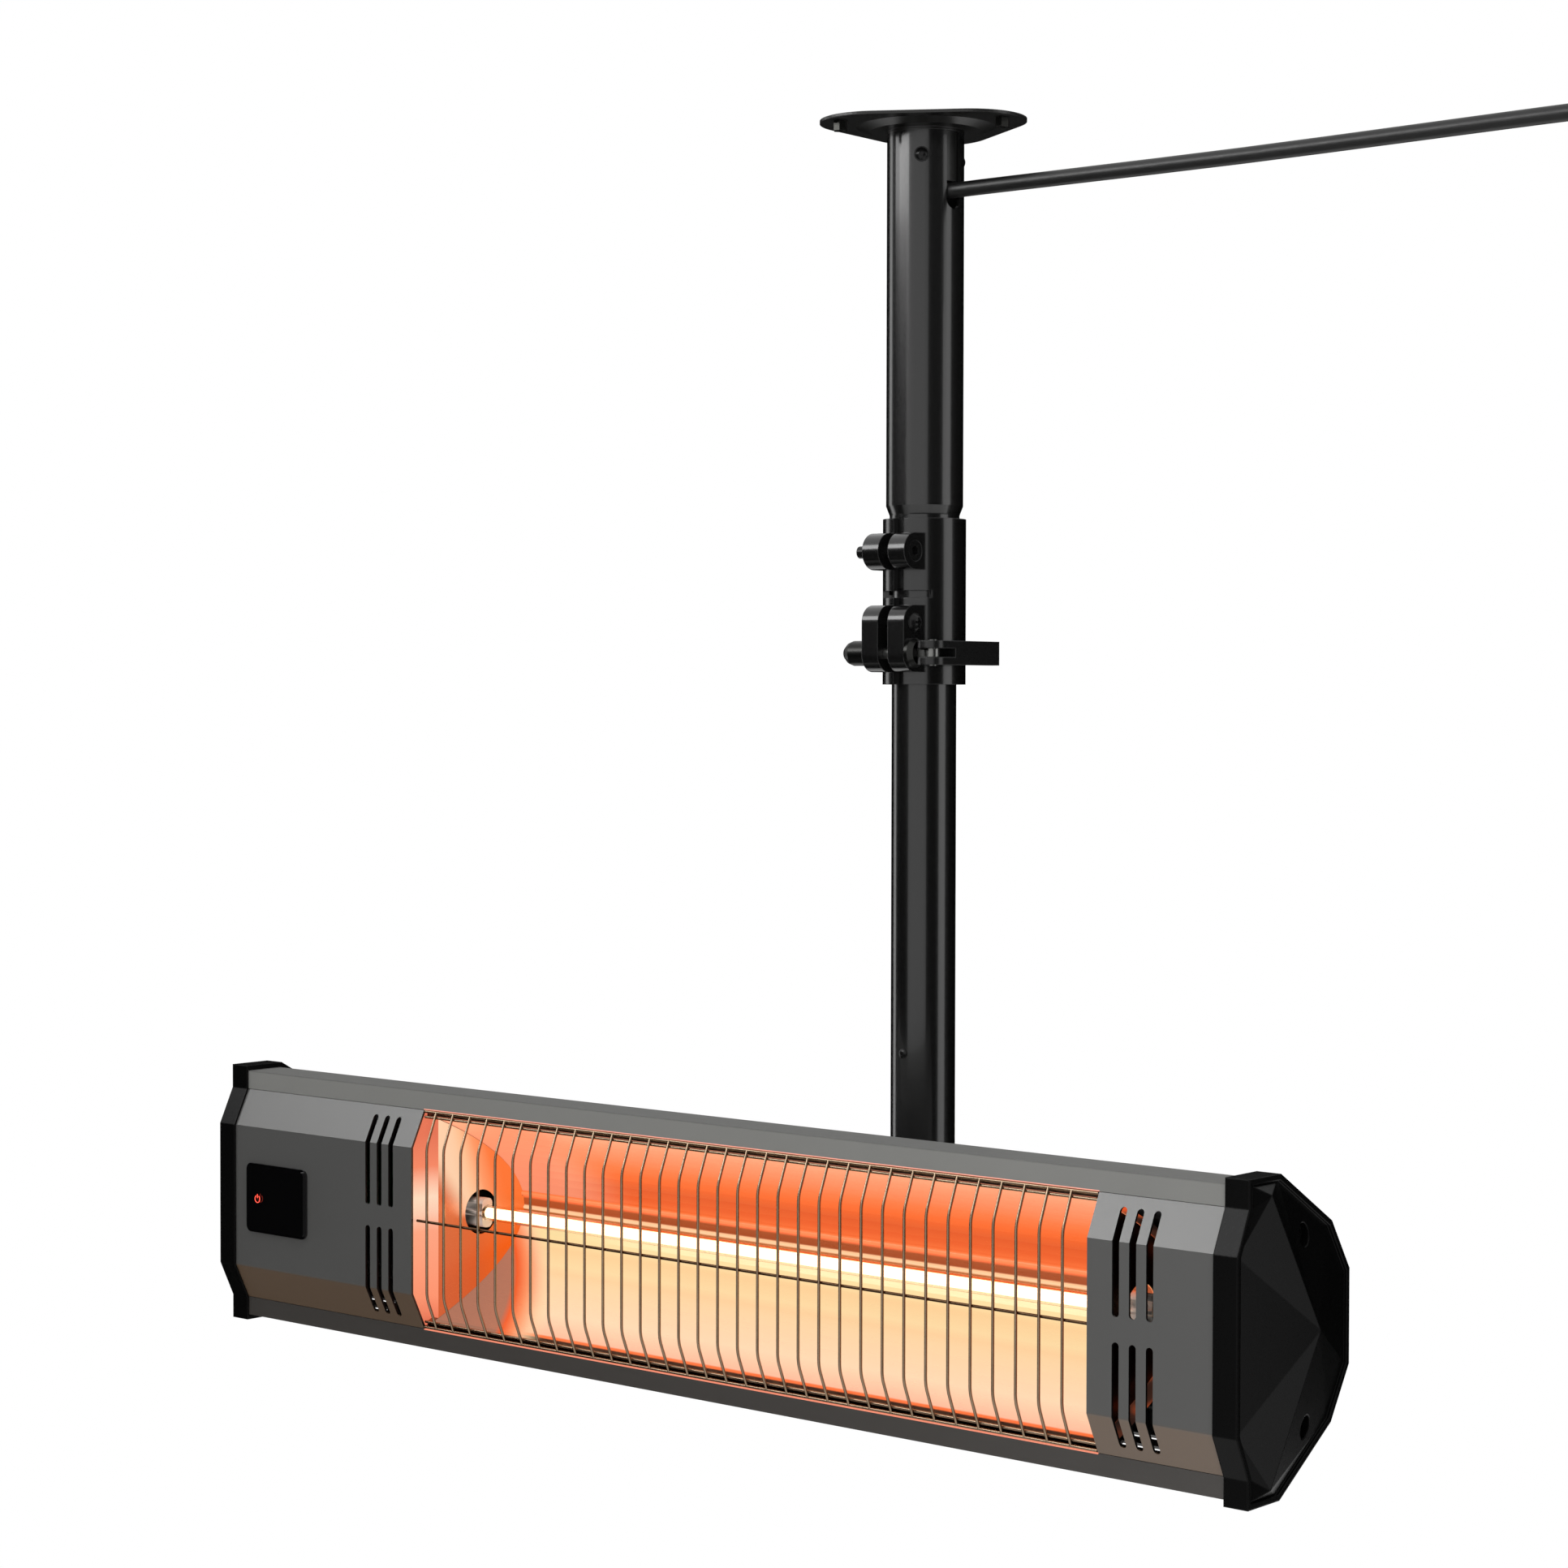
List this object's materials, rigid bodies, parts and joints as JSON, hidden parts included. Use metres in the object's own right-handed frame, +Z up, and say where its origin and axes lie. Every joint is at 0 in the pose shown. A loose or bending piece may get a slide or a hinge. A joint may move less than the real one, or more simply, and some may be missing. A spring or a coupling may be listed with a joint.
{
  "type": "ceiling infrared heater",
  "caption": "Infrared heater with a long folded-metal housing and wire guard, hung and tilted on a telescopic ceiling pole with a quick-release collar.",
  "frame": {"origin": "centre of the circle of ceiling studs, on the pole's axis, at the plate's top face", "axes": "+Z up the pole to the ceiling, +X along the heater to its right end as seen from its front, and -Y out of the heater's front"},
  "size_m": [0.967, 0.3191, 0.792],
  "materials": {
    "plate_black": "satin black paint",
    "nut_steel": "black zinc",
    "screw_black": "black oxide",
    "pole_black": "satin black powder coat",
    "collar_black": "satin black powder coat on cast aluminium",
    "bolt_steel": "zinc plated",
    "washer_steel": "dark zinc",
    "lever_black": "satin black",
    "glide_white": "natural acetal",
    "foot_black": "satin black powder coat",
    "cable_black": "matt rubber sheath",
    "box_black": "moulded black",
    "terminal_white": "moulded white",
    "disc_grey": "fibre friction disc",
    "housing_grey": "anthracite anodised extrusion",
    "cover_grey": "anthracite paint",
    "reflector_bright": "bright rolled reflector sheet",
    "lamp_glass": "clear quartz",
    "filament": "glowing filament",
    "ceramic_white": "white ceramic",
    "bracket_steel": "galvanised",
    "lead_sleeve": "glass-fibre sleeve",
    "guard_steel": "bright wire",
    "cap_black": "moulded black, satin",
    "gasket_black": "silicone rubber",
    "window_black": "dark tinted",
    "light_red": "lit indicator",
    "board_green": "circuit board"
  },
  "bodies": {
    "ceiling_mount": {"ceiling_plate": "plate_black", "ceiling_nuts": "nut_steel", "socket_screws": "screw_black", "upper_tube": "pole_black", "clamp_collar": "collar_black", "collar_bolt": "screw_black", "guide_screw": "screw_black", "release_bolt": "bolt_steel", "release_nut": "screw_black", "release_washer": "washer_steel", "feed_cable": "cable_black", "power_cord": "cable_black", "cord_gland": "box_black", "box_base": "box_black", "box_cover": "box_black", "box_terminals": "terminal_white"},
    "lever": {"release_lever": "lever_black", "lever_pin": "bolt_steel"},
    "glide": {"glide_ring": "glide_white", "coiled_cable": "cable_black"},
    "drop_pole": {"lower_tube": "pole_black", "foot_screws": "screw_black", "pole_foot": "foot_black", "tail_cable": "cable_black", "pivot_screws": "screw_black", "friction_discs": "disc_grey"},
    "heater": {"tilt_yoke": "foot_black", "yoke_screws": "screw_black", "heater_gland": "box_black", "link_cable": "cable_black", "housing": "housing_grey", "reflector": "reflector_bright", "end_plate_left": "reflector_bright", "end_plate_right": "reflector_bright", "lamp_glass": "lamp_glass", "filament": "filament", "lamp_cap_left": "ceramic_white", "lamp_cap_right": "ceramic_white", "lamp_bracket_left": "bracket_steel", "lamp_bracket_right": "bracket_steel", "lamp_leads": "lead_sleeve", "guard": "guard_steel", "cover_left": "cover_grey", "cover_right": "cover_grey", "end_cap_left": "cap_black", "end_cap_right": "cap_black", "cap_gaskets": "gasket_black", "cap_screws": "screw_black", "receiver_window": "window_black", "power_light": "light_red", "receiver_board": "board_green", "control_board": "board_green", "terminal_block": "terminal_white", "heater_loom": "lead_sleeve"}
  },
  "joints": [
    {"name": "release_lever_turn", "type": "hinge", "parent": "ceiling_mount", "child": "lever", "pos_m": [0.0335, -0.034, -0.3425], "axis": [0, 0, -1], "range_deg": [0, 120]},
    {"name": "pole_slide", "type": "slide", "parent": "ceiling_mount", "child": "glide", "axis": [0, 0, 1], "range_m": [0, 0.17], "deforming": ["coiled_cable"]},
    {"name": "pole_swivel", "type": "hinge", "parent": "glide", "child": "drop_pole", "pos_m": [0, 0, -0.24], "axis": [0, 0, 1], "range_deg": [-90, 90]},
    {"name": "heater_tilt", "type": "hinge", "parent": "drop_pole", "child": "heater", "pos_m": [0, -0.066, -0.706], "axis": [1, 0, 0], "range_deg": [-15, 45]}
  ]
}
